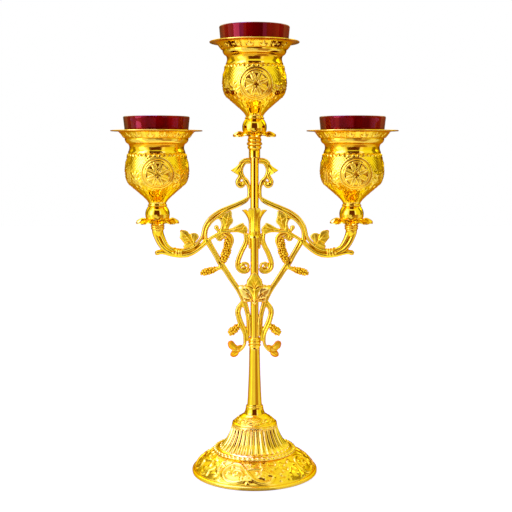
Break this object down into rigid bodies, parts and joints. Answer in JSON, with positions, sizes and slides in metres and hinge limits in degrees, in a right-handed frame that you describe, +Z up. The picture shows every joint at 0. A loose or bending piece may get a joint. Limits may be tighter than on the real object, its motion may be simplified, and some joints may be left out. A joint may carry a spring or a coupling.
{
  "type": "votive candle stand",
  "caption": "Table candelabrum of polished brass with a vine-work column and arms, and a lift-out red glass in each cup.",
  "frame": {"origin": "centre of the foot, on the surface that the stand rests on", "axes": "+Z up along the column, +X towards the right arm, -Y towards the viewer"},
  "size_m": [0.2672, 0.12, 0.42],
  "materials": {
    "polished_brass": "polished and gilt, with chased and cast relief",
    "plated_steel": "zinc plated",
    "ruby_glass": "clear ruby glass with a fire-polished rim"
  },
  "bodies": {
    "stand": {"foot_dish": "polished_brass", "fluted_bell": "polished_brass", "shoulder_cap": "polished_brass", "base_collar": "polished_brass", "lower_stem": "polished_brass", "stem_ferrule": "polished_brass", "column": "polished_brass", "column_calyx": "polished_brass", "column_head": "polished_brass", "tie_rod": "plated_steel", "base_plate": "plated_steel", "base_nut": "plated_steel", "vine_arm_left": "polished_brass", "vine_arm_right": "polished_brass", "lyre_scroll_left": "polished_brass", "lyre_scroll_right": "polished_brass", "leaf_spray_front": "polished_brass", "leaf_spray_back": "polished_brass", "arm_ferrule_left": "polished_brass", "arm_ferrule_right": "polished_brass", "drip_pan_centre": "polished_brass", "drip_pan_left": "polished_brass", "drip_pan_right": "polished_brass", "cup_knob_centre": "polished_brass", "cup_knob_left": "polished_brass", "cup_knob_right": "polished_brass", "cup_centre": "polished_brass", "cup_left": "polished_brass", "cup_right": "polished_brass", "cup_studs": "plated_steel", "cup_washers": "plated_steel", "cup_nuts": "plated_steel"},
    "centre_glass": {"glass_centre": "ruby_glass"},
    "left_glass": {"glass_left": "ruby_glass"},
    "right_glass": {"glass_right": "ruby_glass"}
  },
  "joints": [
    {"name": "centre_glass_lift", "type": "slide", "parent": "stand", "child": "centre_glass", "axis": [0, 0, 1], "range_m": [0, 0.06]},
    {"name": "left_glass_lift", "type": "slide", "parent": "stand", "child": "left_glass", "axis": [0, 0, 1], "range_m": [0, 0.06]},
    {"name": "right_glass_lift", "type": "slide", "parent": "stand", "child": "right_glass", "axis": [0, 0, 1], "range_m": [0, 0.06]}
  ]
}
